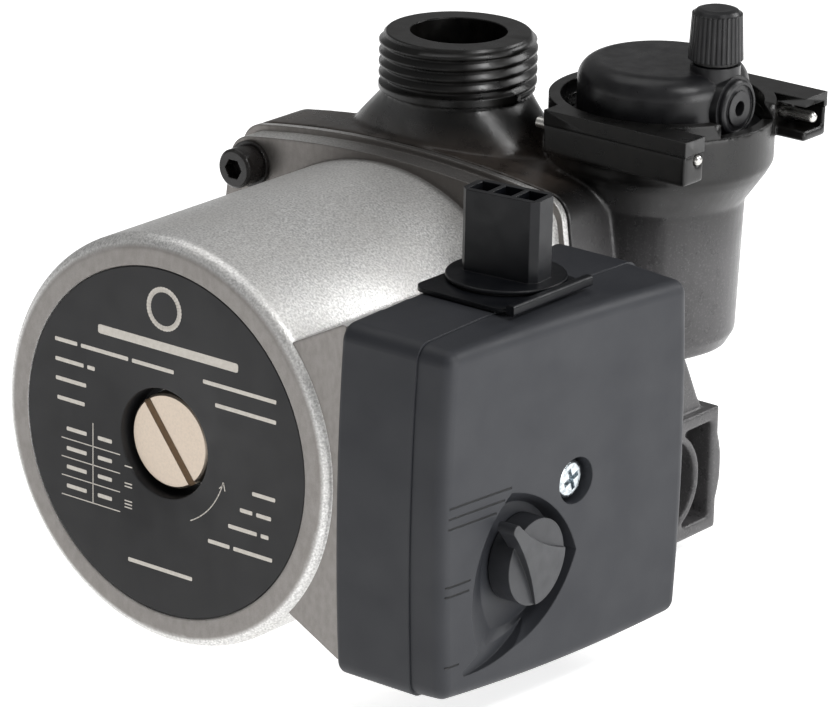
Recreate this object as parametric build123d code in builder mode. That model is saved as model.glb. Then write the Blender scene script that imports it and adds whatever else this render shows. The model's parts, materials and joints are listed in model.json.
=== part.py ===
from build123d import *
import math
import os

# Wet-rotor circulator pump for a wall-hung boiler, in millimetres, +Z up.
# The origin is the centre of the threaded top port's sealing face. The motor lies
# along Y with its name plate towards -Y, and the terminal box is on its +X side.

# Frame: every place below is (x, y back from the name plate, z above the motor axis)
PORT_BACK = 93.0  # name plate to the axis of the top port
PORT_HEIGHT = 66.0  # motor axis to the top port's sealing face

# Motor
MOTOR_R = 42.7
SEAM = 75.5  # name plate to the back face of the stator housing
EAR_FRONT = 68.5
FRONT_ROUND = 3.0
PLATE_R = 36.3
PLATE_T = 0.6
SCREW_HOLE_R = 12.0
STATOR_BORE_R = 39.6
BORE_FRONT = 5.0
CAN_IN_R = 16.7
CAN_WALL = 0.5
CAN_FLANGE_R = 42.0
SHAFT_R = 5.0
ROTOR_R = 16.0

# Flange outline shared by the motor, the gasket and the pump housing
FLANGE_HALF = 45.2  # half width at the crown of each side
FLANGE_CORNER = 41.6  # where two crowned sides would meet
FLANGE_CORNER_R = 5.5
BOLT_OFFSET = 35.4
BOLT_R = 2.5
BOLT_HEAD_R = 4.25
BOLT_HEAD_H = 5.0
WASHER_R = 5.0
WASHER_T = 1.0
GASKET_T = 0.8

# Terminal box
BOX_BACK = 45.5
BOX_SPLIT = 64.0
BOX_NEAR = -0.6
BOX_FAR = 69.8
BOX_TOP = 35.6
BOX_BOTTOM = -36.8
BOX_CROWN = 1.4
BOX_TOP_CROWN = 0.7
BOX_CORNER_R = 3.5
BOX_WALL = 2.2
COVER_NEAR_X = 71.4  # cover front at its near edge, where it is shallow
COVER_FAR_X = 78.1  # cover front at its far edge
COVER_ROUND = 2.8
COVER_DRAFT = 3.5
KNOB_Y = 24.3
KNOB_Z = -12.8
KNOB_R = 8.8
KNOB_TIP_R = 14.0
KNOB_STEP = 45.0  # degrees between two speed settings
POCKET_FLOOR = 69.6
COVER_SCREW_Y = 36.6
BOARD_X = 50.4
LEADS_Y = 21.0
LEADS_Z = 4.0
COVER_SCREW_Z = 0.6
COVER_SCREW_SEAT = 71.2

# Mains connector on top of the box
PLUG_X = 55.0
PLUG_Y = 38.6
PLUG_TURN = 6.0
PLUG_TOP = 55.2
DISC_R = 12.0
DISC_TOP = 38.6
SOCKET_PITCH = 5.3

# Hydraulics
THREAD_R = 16.6  # G1 pipe thread: 33.25 mm over the crests, 11 threads to the inch
THREAD_PITCH = 2.309
THREAD_DEPTH = 1.35
NECK_TOP = 53.8  # foot of the thread
PORT_BORE_R = 10.25
VOLUTE_FRONT = SEAM + GASKET_T
FLANGE_BACK = 91.0
VOLUTE_R = 40.0
VOLUTE_BACK = 99.0
CHAMBER_BACK = 120.0
INLET_Y = 106.5
INLET_Z = -27.8
INLET_FACE = 48.0
INLET_BORE_R = 10.0
INLET_HALF_Y = 18.4
INLET_HALF_Z = 13.8
INLET_BOLT_Y = 11.6
INLET_BOLT_Z = 8.6
INLET_BOLT_R = 1.9

# Air separator and automatic vent
AIR_X = 41.8
AIR_Y = 108.0
AIR_BOTTOM = 3.0
CAN_R = 17.9
COLLAR_R = 23.5
COLLAR_BORE_R = 21.1
COLLAR_TOP = 57.0
PIN_Z = 52.5
PIN_OFFSET = 20.5
PIN_R = 1.2
HEAD_R = 17.7
HEAD_TOP = 64.8
CAP_X = 54.7
VALVE_Z = 57.9
LEVER_X = 50.2
LEVER_Z = 55.8

PLATE_Y = -PORT_BACK
AXIS_Z = -PORT_HEIGHT
MOTOR_AXIS = Axis((0, 0, AXIS_Z), (0, 1, 0))


def level(z, x=0.0, y=0.0):
    """Horizontal plane at a height above the motor axis, facing up."""
    return Plane(origin=(x, PLATE_Y + y, AXIS_Z + z), x_dir=(1, 0, 0), z_dir=(0, 0, 1))


def across(y, x=0.0, z=0.0):
    """Upright plane at a distance back from the name plate, facing back."""
    return Plane(origin=(x, PLATE_Y + y, AXIS_Z + z), x_dir=(-1, 0, 0), z_dir=(0, 1, 0))


def sideways(x, y=0.0, z=0.0):
    """Upright plane at x, facing +X, with local x running back along the motor."""
    return Plane(origin=(x, PLATE_Y + y, AXIS_Z + z), x_dir=(0, 1, 0), z_dir=(1, 0, 0))


def upright(x, y):
    """Plane that holds a vertical axis at (x, y), with local x the radius."""
    return Plane(origin=(x, PLATE_Y + y, AXIS_Z), x_dir=(1, 0, 0), z_dir=(0, -1, 0))


def swivel(plane, degrees):
    """The same plane turned about its own normal."""
    x_dir = plane.x_dir.rotate(Axis(plane.origin, plane.z_dir), degrees)
    return Plane(origin=plane.origin, x_dir=x_dir, z_dir=plane.z_dir)


def vertical_axis(x, y):
    return Axis((x, PLATE_Y + y, 0), (0, 0, 1))


def spin(plane, axis, points, mode=Mode.ADD):
    """Turned body: a closed profile revolved about an axis in its plane."""
    with BuildSketch(plane) as profile:
        with BuildLine():
            Polyline(*points, close=True)
        make_face()
    revolve(profile.sketch, axis=axis, mode=mode)


def turn_motor(points, mode=Mode.ADD):
    """Turned about the motor axis from (distance back, radius) points."""
    spin(sideways(0), MOTOR_AXIS, points, mode)


def drill(plane, radius, depth, places=((0, 0),), mode=Mode.SUBTRACT):
    """Round holes, or pegs with Mode.ADD, along a plane's normal."""
    with BuildSketch(plane) as holes:
        with Locations(*places):
            Circle(radius)
    extrude(holes.sketch, amount=depth, mode=mode)


def block(plane, width, height, depth, place=(0, 0), mode=Mode.ADD):
    with BuildSketch(plane) as outline:
        with Locations(place):
            Rectangle(width, height)
    extrude(outline.sketch, amount=depth, mode=mode)


def crowned(low, high, crowns, corner_r):
    """Rectangle with gently bowed sides (bottom, right, top, left) and rounded corners."""
    (x0, y0), (x1, y1) = low, high
    mid_x = (x0 + x1) / 2
    mid_y = (y0 + y1) / 2
    bottom, right, top, left = crowns
    with BuildLine() as sides:
        ThreePointArc((x0, y0), (mid_x, y0 - bottom), (x1, y0))
        ThreePointArc((x1, y0), (x1 + right, mid_y), (x1, y1))
        ThreePointArc((x1, y1), (mid_x, y1 + top), (x0, y1))
        ThreePointArc((x0, y1), (x0 - left, mid_y), (x0, y0))
    face = make_face(sides.edges())
    fillet(face.vertices(), corner_r)


def flange_outline(shrink=0.0):
    """Bolted joint between the motor and the pump housing."""
    half = FLANGE_CORNER - shrink
    crown = FLANGE_HALF - FLANGE_CORNER
    crowned((-half, -half), (half, half), (crown, crown, crown, crown), FLANGE_CORNER_R)


def box_outline(shrink=0.0):
    low = (BOX_NEAR + shrink, BOX_BOTTOM + shrink)
    high = (BOX_FAR - shrink, BOX_TOP - shrink)
    crowned(low, high, (BOX_CROWN, BOX_CROWN, BOX_TOP_CROWN, BOX_CROWN), BOX_CORNER_R)


BOLT_PLACES = [(i * BOLT_OFFSET, j * BOLT_OFFSET) for i in (-1, 1) for j in (-1, 1)]
SOCKET_PLACES = [(i * SOCKET_PITCH, 0) for i in (-1, 0, 1)]
BOX_SCREW_PLACES = [(12.0, 26.0), (52.5, -26.0)]
SPEED_MARKS = [  # (height, start, length) along the cover
    (3.9, 1.4, 17.4), (1.8, 1.3, 15.6), (-0.3, 1.2, 13.4),
    (-12.2, 0.9, 6.8), (-14.2, 0.8, 6.6), (-28.9, 1.2, 3.8),
]
COVER_SLOPE = math.atan2(COVER_FAR_X - COVER_NEAR_X, BOX_FAR - BOX_NEAR)


def cover_plane(inset=0.0):
    """Tilted front of the terminal box cover, or a plane that lies behind it."""
    normal = (math.cos(COVER_SLOPE), -math.sin(COVER_SLOPE), 0)
    along = (math.sin(COVER_SLOPE), math.cos(COVER_SLOPE), 0)
    origin = (COVER_NEAR_X, PLATE_Y + BOX_NEAR, AXIS_Z)
    return Plane(origin=origin, x_dir=along, z_dir=normal).offset(-inset)


# ---------------------------------------------------------------- motor

with BuildPart() as stator_housing:
    drill(across(0), MOTOR_R, SEAM, mode=Mode.ADD)
    fillet(stator_housing.edges().group_by(Axis.Y)[0], FRONT_ROUND)
    # Pad that carries the terminal box
    with BuildSketch(across(1.5)) as pad:
        with BuildLine():
            Polyline(
                (0, 0), (-32, 28.4), (-44, 34.6), (-45.0, 34.6), (-45.0, -34.6), (-44, -34.6), (-32, -28.4),
                close=True,
            )
        make_face()
    extrude(pad.sketch, amount=58.5)
    # Four bolt ears that grow into the joint face
    with BuildSketch(across(EAR_FRONT)) as ears:
        flange_outline(1.2)
    extrude(ears.sketch, amount=SEAM - EAR_FRONT - 1.5)
    with BuildSketch(across(SEAM - 1.6)) as lip:
        flange_outline()
    extrude(lip.sketch, amount=1.6)
    drill(across(BORE_FRONT), STATOR_BORE_R, SEAM, mode=Mode.SUBTRACT)
    drill(across(73.0), CAN_FLANGE_R + 0.2, SEAM, mode=Mode.SUBTRACT)
    drill(across(0), PLATE_R + 0.2, PLATE_T)
    drill(across(0), SCREW_HOLE_R, BORE_FRONT)
    drill(across(EAR_FRONT), BOLT_R + 0.3, SEAM, BOLT_PLACES)
    drill(sideways(BOX_BACK, LEADS_Y, LEADS_Z), 5.5, -12)
    drill(sideways(BOX_BACK), 1.95, -9, BOX_SCREW_PLACES)
stator_housing.part.label = "stator_housing"

with BuildPart() as stator_core:
    with BuildSketch(across(26)) as lamination:
        Circle(STATOR_BORE_R - 0.05)
        Circle(CAN_IN_R + CAN_WALL + 0.1, mode=Mode.SUBTRACT)
        with PolarLocations(26.0, 12):
            SlotOverall(11.0, 5.2, mode=Mode.SUBTRACT)
    extrude(lamination.sketch, amount=34)
stator_core.part.label = "stator_core"

with BuildPart() as stator_windings:
    for start, length in ((16, 9.8), (60.2, 9.8)):
        with BuildSketch(across(start)) as end_turn:
            Circle(33.5)
            Circle(20.0, mode=Mode.SUBTRACT)
        extrude(end_turn.sketch, amount=length)
    fillet(stator_windings.edges(), 2.5)
    with BuildSketch(across(24)) as slot_sides:
        with PolarLocations(26.0, 12):
            SlotOverall(10.6, 4.8)
    extrude(slot_sides.sketch, amount=38)
stator_windings.part.label = "stator_windings"

with BuildPart() as motor_leads:
    lead_places = [(-2.6, 0), (0, 2.6), (2.6, 0), (0, -2.6)]
    drill(sideways(33.8, LEADS_Y, LEADS_Z), 1.1, BOARD_X - 33.8, lead_places, Mode.ADD)
motor_leads.part.label = "motor_leads"

with BuildPart() as rotor_can:
    outer_r = CAN_IN_R + CAN_WALL
    turn_motor([
        (6.9, 7.96), (6.9, 11.2), (13.5, 11.2), (13.5, 10.6), (24.9, 10.6), (24.9, outer_r),
        (73.0, outer_r), (73.0, CAN_FLANGE_R), (73.6, CAN_FLANGE_R), (73.6, CAN_IN_R), (25.4, CAN_IN_R),
        (25.4, 10.05), (13.0, 10.05), (13.0, 7.96),
    ])
rotor_can.part.label = "rotor_can"

with BuildPart() as front_bearing:
    turn_motor([(13.6, SHAFT_R + 0.04), (13.6, 10.0), (24.0, 10.0), (24.0, SHAFT_R + 0.04)])
    with BuildSketch(across(13.6)) as grooves:
        with PolarLocations(10.0, 3):
            Rectangle(2.4, 1.6)
    extrude(grooves.sketch, amount=11, mode=Mode.SUBTRACT)
front_bearing.part.label = "front_bearing"

with BuildPart() as thrust_bearing:
    turn_motor([(24.2, SHAFT_R), (24.2, 9.3), (27.4, 9.3), (27.4, SHAFT_R)])
thrust_bearing.part.label = "thrust_bearing"

with BuildPart() as shaft:
    turn_motor([(14.4, 1.4), (14.4, 4.4), (15.0, SHAFT_R), (91.4, SHAFT_R), (92.0, 4.4), (92.0, 1.4)])
shaft.part.label = "shaft"

with BuildPart() as rotor:
    turn_motor([(27.5, SHAFT_R), (27.5, 15.2), (28.4, ROTOR_R), (66.6, ROTOR_R), (67.5, 15.2), (67.5, SHAFT_R)])
rotor.part.label = "rotor"

with BuildPart() as rear_bearing:
    turn_motor([(68.6, SHAFT_R + 0.04), (68.6, 9.5), (77.8, 9.5), (77.8, SHAFT_R + 0.04)])
    with BuildSketch(across(68.6)) as grooves:
        with PolarLocations(9.5, 3):
            Rectangle(2.4, 1.6)
    extrude(grooves.sketch, amount=10, mode=Mode.SUBTRACT)
rear_bearing.part.label = "rear_bearing"

with BuildPart() as bearing_plate:
    turn_motor([
        (73.6, 14.0), (73.6, CAN_FLANGE_R), (SEAM, CAN_FLANGE_R), (SEAM, 16.0), (77.2, 14.0), (77.2, 9.5),
        (69.0, 9.5), (69.0, 11.2), (73.0, 11.2),
    ])
    with BuildSketch(across(73)) as vents:
        with PolarLocations(15.4, 6):
            Circle(1.6)
    extrude(vents.sketch, amount=5, mode=Mode.SUBTRACT)
bearing_plate.part.label = "bearing_plate"

with BuildPart() as impeller:
    turn_motor([
        (79.2, SHAFT_R), (79.2, 26.5), (80.6, 26.5), (83.0, 9.0), (91.0, 7.2), (91.0, SHAFT_R),
    ])
    turn_motor([(86.2, 26.5), (86.2, 9.0), (96.6, 9.0), (96.6, 10.4), (87.6, 10.4), (87.6, 26.5)])
    # Seven backward-curved vanes between the two shrouds
    with BuildSketch(across(80)) as vanes:
        with PolarLocations(0, 7):
            with BuildLine():
                ThreePointArc((9.5, 0), (18.5, 3.2), (25.9, 10.5))
                Line((25.9, 10.5), (25.0, 11.3))
                ThreePointArc((25.0, 11.3), (17.6, 4.5), (9.5, 1.4))
                Line((9.5, 1.4), (9.5, 0))
            make_face()
    extrude(vanes.sketch, amount=6.4)
impeller.part.label = "impeller"

with BuildPart() as neck_ring:
    turn_motor([(93.6, 10.48), (93.6, 12.9), (98.6, 12.9), (98.6, 10.48)])
neck_ring.part.label = "neck_ring"

with BuildPart() as name_plate:
    collar_r = SCREW_HOLE_R - 0.05
    turn_motor([
        (0, collar_r - 0.6), (0, PLATE_R), (PLATE_T, PLATE_R), (PLATE_T, collar_r), (6.4, collar_r), (6.4, 10.2),
        (5.8, 10.2), (5.8, collar_r - 0.6),
    ])
name_plate.part.label = "name_plate"

with BuildPart() as vent_screw:
    turn_motor([
        (1.76, 0), (1.76, 9.4), (2.2, 9.83), (5.0, 9.83), (5.0, 7.92), (7.0, 7.92), (13.0, 7.92),
        (13.0, 6.0), (8.5, 6.0), (8.5, 0),
    ])
    block(swivel(across(1.76), 51.8), 24.0, 1.8, 1.7, mode=Mode.SUBTRACT)
vent_screw.part.label = "vent_screw"

with BuildPart() as vent_screw_oring:
    with BuildSketch(sideways(0)) as section:
        with Locations((5.95, 9.0)):
            Circle(0.94)
    revolve(section.sketch, axis=MOTOR_AXIS)
vent_screw_oring.part.label = "vent_screw_oring"

with BuildPart() as housing_gasket:
    with BuildSketch(across(SEAM)) as outline:
        flange_outline(0.7)
        Circle(36.0, mode=Mode.SUBTRACT)
        with Locations(*BOLT_PLACES):
            Circle(BOLT_R + 0.3, mode=Mode.SUBTRACT)
    extrude(outline.sketch, amount=GASKET_T)
housing_gasket.part.label = "housing_gasket"

HEAD_BACK = EAR_FRONT - WASHER_T
with BuildPart() as housing_bolts:
    drill(across(HEAD_BACK - BOLT_HEAD_H), BOLT_HEAD_R, BOLT_HEAD_H, BOLT_PLACES, Mode.ADD)
    chamfer(housing_bolts.edges().group_by(Axis.Y)[0], 0.5)
    drill(across(HEAD_BACK), BOLT_R, 21, BOLT_PLACES, Mode.ADD)
    with BuildSketch(across(HEAD_BACK - BOLT_HEAD_H)) as sockets:
        with Locations(*BOLT_PLACES):
            RegularPolygon(2.0, 6, major_radius=False)
    extrude(sockets.sketch, amount=2.8, mode=Mode.SUBTRACT)
housing_bolts.part.label = "housing_bolts"

with BuildPart() as bolt_washers:
    drill(across(HEAD_BACK), WASHER_R, WASHER_T, BOLT_PLACES, Mode.ADD)
    drill(across(HEAD_BACK), BOLT_R + 0.15, WASHER_T, BOLT_PLACES)
bolt_washers.part.label = "bolt_washers"

# ---------------------------------------------------------------- terminal box

BOX_FLOOR = BOX_BACK + 2.4
with BuildPart() as box_gasket:
    with BuildSketch(sideways(45.0)) as outline:
        with Locations((31, 0)):
            RectangleRounded(56, 66, 4)
            RectangleRounded(50, 60, 3, mode=Mode.SUBTRACT)
    extrude(outline.sketch, amount=BOX_BACK - 45.0)
box_gasket.part.label = "box_gasket"

with BuildPart() as terminal_box_base:
    with BuildSketch(sideways(BOX_BACK)) as outline:
        box_outline()
    extrude(outline.sketch, amount=BOX_SPLIT - BOX_BACK)
    fillet(terminal_box_base.faces().sort_by(Axis.X)[0].edges(), 1.2)
    with BuildSketch(sideways(BOX_FLOOR)) as cavity:
        box_outline(BOX_WALL)
    extrude(cavity.sketch, amount=BOX_SPLIT, mode=Mode.SUBTRACT)
    drill(sideways(BOX_BACK, LEADS_Y, LEADS_Z), 5.5, 4)
    drill(sideways(BOX_BACK), 2.15, 4, BOX_SCREW_PLACES)
    drill(level(25, PLUG_X, PLUG_Y), 8.6, 20)
    # Boss that takes the cover screw
    drill(sideways(BOX_FLOOR, COVER_SCREW_Y, COVER_SCREW_Z), 4.0, 14.0, mode=Mode.ADD)
    drill(sideways(BOX_FLOOR + 2, COVER_SCREW_Y, COVER_SCREW_Z), 1.75, 16)
terminal_box_base.part.label = "terminal_box_base"

with BuildPart() as box_screws:
    drill(sideways(36.9), 1.9, 11.0, BOX_SCREW_PLACES, Mode.ADD)
    drill(sideways(BOX_FLOOR), 3.6, 2.2, BOX_SCREW_PLACES, Mode.ADD)
    for place in BOX_SCREW_PLACES:
        block(sideways(BOX_FLOOR + 1.2), 0.9, 5.0, 2, place, Mode.SUBTRACT)
        block(sideways(BOX_FLOOR + 1.2), 5.0, 0.9, 2, place, Mode.SUBTRACT)
box_screws.part.label = "box_screws"

with BuildPart() as terminal_box_cover:
    with BuildSketch(sideways(BOX_SPLIT)) as outline:
        box_outline(0.35)
    extrude(outline.sketch, amount=20, taper=COVER_DRAFT)
    split(bisect_by=cover_plane(), keep=Keep.BOTTOM)
    front = terminal_box_cover.faces().sort_by(Axis.X)[-1]
    fillet(front.edges(), COVER_ROUND)
    with BuildSketch(sideways(BOX_SPLIT)) as cavity:
        box_outline(BOX_WALL + 0.35)
    hollow = extrude(cavity.sketch, amount=20, taper=COVER_DRAFT, mode=Mode.PRIVATE)
    hollow = split(hollow, bisect_by=cover_plane(BOX_WALL), keep=Keep.BOTTOM, mode=Mode.PRIVATE)
    add(hollow, mode=Mode.SUBTRACT)
    # Scooped recess round the speed knob, with a backing that keeps the wall whole
    with BuildSketch(sideways(POCKET_FLOOR - 1.8, 22.8, -15.0)) as backing:
        Circle(18.4)
    boss = extrude(backing.sketch, amount=12, mode=Mode.PRIVATE)
    boss = split(boss, bisect_by=cover_plane(0.4), keep=Keep.BOTTOM, mode=Mode.PRIVATE)
    add(boss)
    with BuildSketch(cover_plane(-0.4)) as rim:
        with BuildLine():
            ThreePointArc((18.8, 3.2), (31.6, -3.6), (38.2, -14.0))
            ThreePointArc((38.2, -14.0), (31.6, -24.0), (10.4, -30.6))
            ThreePointArc((10.4, -30.6), (8.2, -13.0), (18.8, 3.2))
        make_face()
    with BuildSketch(sideways(POCKET_FLOOR)) as floor:
        with BuildLine():
            ThreePointArc((19.4, -1.0), (30.2, -4.2), (36.4, -13.6))
            ThreePointArc((36.4, -13.6), (30.4, -23.8), (17.0, -26.0))
            ThreePointArc((17.0, -26.0), (13.6, -13.0), (19.4, -1.0))
        make_face()
    loft([floor.sketch, rim.sketch], mode=Mode.SUBTRACT)
    # Ramp that climbs from the recess to a point beside the lowest speed mark
    with BuildSketch(sideways(60)) as ramp:
        with BuildLine():
            Polyline((34.4, -18.0), (24.0, -18.0), (20.6, -21.2), (13.0, -26.6), (5.4, -31.0), (5.8, -31.9))
            ThreePointArc((5.8, -31.9), (24.6, -27.4), (34.4, -18.0))
        make_face()
    wedge = extrude(ramp.sketch, amount=20, mode=Mode.PRIVATE)
    ramp_foot = (COVER_NEAR_X + 0.3, PLATE_Y + 5.4, AXIS_Z - 31.4)
    ramp_floor = Plane(origin=ramp_foot, x_dir=(0, 1, -1), z_dir=(1.0, 0.055, 0.055))
    wedge = split(wedge, bisect_by=ramp_floor, keep=Keep.TOP, mode=Mode.PRIVATE)
    add(wedge, mode=Mode.SUBTRACT)
    drill(sideways(60, KNOB_Y, KNOB_Z), 3.2, 20)
    # Seat, recess and hole of the cover screw
    drill(sideways(COVER_SCREW_SEAT - 1.8, COVER_SCREW_Y, COVER_SCREW_Z), 6.4, 4.0, mode=Mode.ADD)
    drill(sideways(COVER_SCREW_SEAT, COVER_SCREW_Y, COVER_SCREW_Z), 4.8, 12)
    drill(sideways(60, COVER_SCREW_Y, COVER_SCREW_Z), 2.1, 20)
    # Engraved speed marks: three lines, two lines and one line
    for z, start, length in SPEED_MARKS:
        block(cover_plane(0.25), length, 0.35, 2, (start + length / 2, z), Mode.SUBTRACT)
terminal_box_cover.part.label = "terminal_box_cover"

# ---------------------------------------------------------------- inside the box

with BuildPart() as terminal_board:
    block(sideways(BOARD_X), 46.0, 40.0, 1.6, (29.0, -10.0))
    drill(sideways(BOARD_X, COVER_SCREW_Y, COVER_SCREW_Z), 4.6, 2)
terminal_board.part.label = "terminal_board"

with BuildPart() as board_posts:
    post_places = [(9.0, -27.0), (46.0, -27.0), (9.0, 6.0), (49.0, 6.0)]
    drill(sideways(BOX_FLOOR), 2.2, BOARD_X - BOX_FLOOR, post_places, Mode.ADD)
board_posts.part.label = "board_posts"

with BuildPart() as speed_switch:
    block(sideways(52.0), 18.0, 18.0, 9.0, (KNOB_Y, KNOB_Z))
    fillet(speed_switch.edges().filter_by(Axis.X), 1.5)
    drill(sideways(52.0, KNOB_Y, KNOB_Z), 5.0, 12)
speed_switch.part.label = "speed_switch"

with BuildPart() as switch_rotor:
    drill(sideways(52.6, KNOB_Y, KNOB_Z), 4.9, 8.0, mode=Mode.ADD)
    drill(sideways(58.0, KNOB_Y, KNOB_Z), 2.0, 5)
switch_rotor.part.label = "switch_rotor"

GRIP_TIP = 1.1
GRIP_REACH = (KNOB_R - 0.2) * math.cos(math.radians(50))
GRIP_WIDTH = (KNOB_R - 0.2) * math.sin(math.radians(50))
KNOB_DISC_H = 5.0
with BuildPart() as speed_knob:
    knob = sideways(POCKET_FLOOR + 0.4, KNOB_Y, KNOB_Z)
    drill(knob, KNOB_R, KNOB_DISC_H, mode=Mode.ADD)
    # Pointer-shaped grip, tall and narrow towards the speed marks, running out flush at its back
    pointer = swivel(knob.offset(3.6), -KNOB_STEP)
    with BuildSketch(pointer) as grip:
        with BuildLine():
            ThreePointArc((-KNOB_TIP_R, GRIP_TIP), (-KNOB_TIP_R - GRIP_TIP, 0), (-KNOB_TIP_R, -GRIP_TIP))
            ThreePointArc((-KNOB_TIP_R, -GRIP_TIP), (-4.6, -2.6), (GRIP_REACH, -GRIP_WIDTH))
            ThreePointArc((GRIP_REACH, -GRIP_WIDTH), (KNOB_R - 0.2, 0), (GRIP_REACH, GRIP_WIDTH))
            ThreePointArc((GRIP_REACH, GRIP_WIDTH), (-4.6, 2.6), (-KNOB_TIP_R, GRIP_TIP))
        make_face()
    wedge = extrude(grip.sketch, amount=8, mode=Mode.PRIVATE)
    lean = Plane(origin=pointer.offset(1.7).from_local_coords((KNOB_R, 0, 0)), x_dir=pointer.y_dir,
                 z_dir=pointer.z_dir + pointer.x_dir * 0.1)
    wedge = split(wedge, bisect_by=lean, keep=Keep.BOTTOM, mode=Mode.PRIVATE)
    add(wedge)
    drill(sideways(58.2, KNOB_Y, KNOB_Z), 1.95, POCKET_FLOOR + 0.6 - 58.2, mode=Mode.ADD)
speed_knob.part.label = "speed_knob"

with BuildPart() as cover_screw:
    drill(sideways(50.6, COVER_SCREW_Y, COVER_SCREW_Z), 1.7, 21.0, mode=Mode.ADD)
    drill(sideways(COVER_SCREW_SEAT, COVER_SCREW_Y, COVER_SCREW_Z), 4.1, 2.6, mode=Mode.ADD)
    fillet(cover_screw.edges().group_by(Axis.X)[-1], 1.2)
    for degrees in (20, 110):
        block(swivel(sideways(72.6, COVER_SCREW_Y, COVER_SCREW_Z), degrees), 4.6, 1.0, 3, mode=Mode.SUBTRACT)
cover_screw.part.label = "cover_screw"

with BuildPart() as capacitor:
    block(sideways(49.2), 12.4, 28.0, 14.6, (58.8, 14.0))
    fillet(capacitor.edges(), 1.4)
capacitor.part.label = "capacitor"

with BuildPart() as capacitor_leads:
    drill(level(-10.0, 56, 58.8), 0.8, 10.0, [(-2.5, 0), (2.5, 0)], Mode.ADD)
capacitor_leads.part.label = "capacitor_leads"

# ---------------------------------------------------------------- mains connector

with BuildPart() as connector_plate:
    with BuildSketch(level(36.5, 55.4, 35.2)) as outline:
        RectangleRounded(22.6, 25.4, 3.0)
    extrude(outline.sketch, amount=0.9)
    drill(level(32.0, PLUG_X, PLUG_Y), 8.4, 5.0, mode=Mode.ADD)
    drill(level(28.0, PLUG_X, PLUG_Y), 6.2, 10)
connector_plate.part.label = "connector_plate"

with BuildPart() as connector_latch:
    block(level(36.5), 2.0, 25.4, 2.2, (68.2, 35.2))
    fillet(connector_latch.edges().filter_by(Axis.Y), 0.6)
connector_latch.part.label = "connector_latch"

with BuildPart() as connector_seal:
    drill(level(37.4, PLUG_X, PLUG_Y), 11.2, 0.5, mode=Mode.ADD)
    drill(level(37.4, PLUG_X, PLUG_Y), 6.2, 1)
connector_seal.part.label = "connector_seal"

with BuildPart() as connector_tower:
    drill(level(37.9, PLUG_X, PLUG_Y), DISC_R, DISC_TOP - 37.9, mode=Mode.ADD)
    fillet(connector_tower.edges().group_by(Axis.Z)[-1], 0.3)
    plug = swivel(level(DISC_TOP, PLUG_X, PLUG_Y), PLUG_TURN)
    with BuildSketch(plug) as body:
        Rectangle(17.4, 7.8)
        chamfer(body.vertices(), 1.4)
    extrude(body.sketch, amount=PLUG_TOP - DISC_TOP)
    with BuildSketch(plug.offset(3.0)) as sockets:
        with Locations(*SOCKET_PLACES):
            Rectangle(4.3, 5.2)
    extrude(sockets.sketch, amount=20, mode=Mode.SUBTRACT)
    drill(plug.offset(-2.0), 0.85, 8, SOCKET_PLACES)
connector_tower.part.label = "connector_tower"

with BuildPart() as contact_pins:
    drill(swivel(level(29.0, PLUG_X, PLUG_Y), PLUG_TURN), 0.8, 18.0, SOCKET_PLACES, Mode.ADD)
    chamfer(contact_pins.edges().group_by(Axis.Z)[-1], 0.3)
contact_pins.part.label = "contact_pins"

# ---------------------------------------------------------------- hydraulics

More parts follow.
